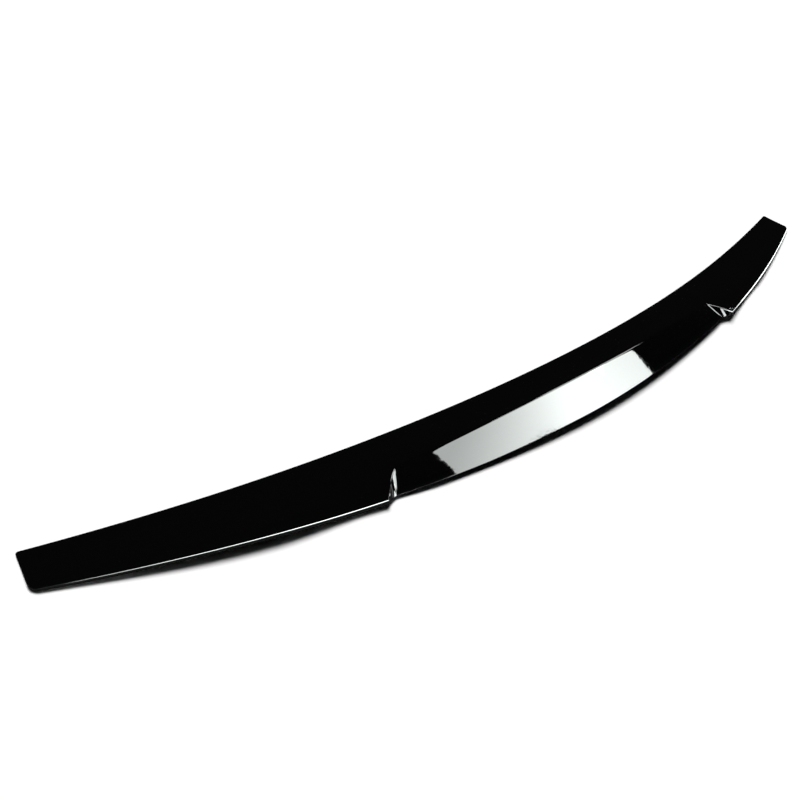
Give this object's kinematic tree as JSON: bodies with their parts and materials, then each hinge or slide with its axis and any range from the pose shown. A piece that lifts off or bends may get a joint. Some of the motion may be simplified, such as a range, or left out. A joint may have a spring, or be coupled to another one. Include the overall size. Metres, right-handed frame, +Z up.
{
  "type": "car rear spoiler",
  "caption": "Low boot lid spoiler: a raised ducktail middle between stepped notches, with wings that thin out to cut ends, in gloss black plastic.",
  "frame": {"origin": "on the plane that the part lies on, under the middle of its box", "axes": "+X across the car, +Y to the front of the car, +Z up"},
  "size_m": [1.2468, 0.157, 0.0328],
  "materials": {
    "gloss_black": "polished piano black paint over a moulded plastic shell"
  },
  "bodies": {
    "root": {"spoiler": "gloss_black"}
  },
  "joints": []
}
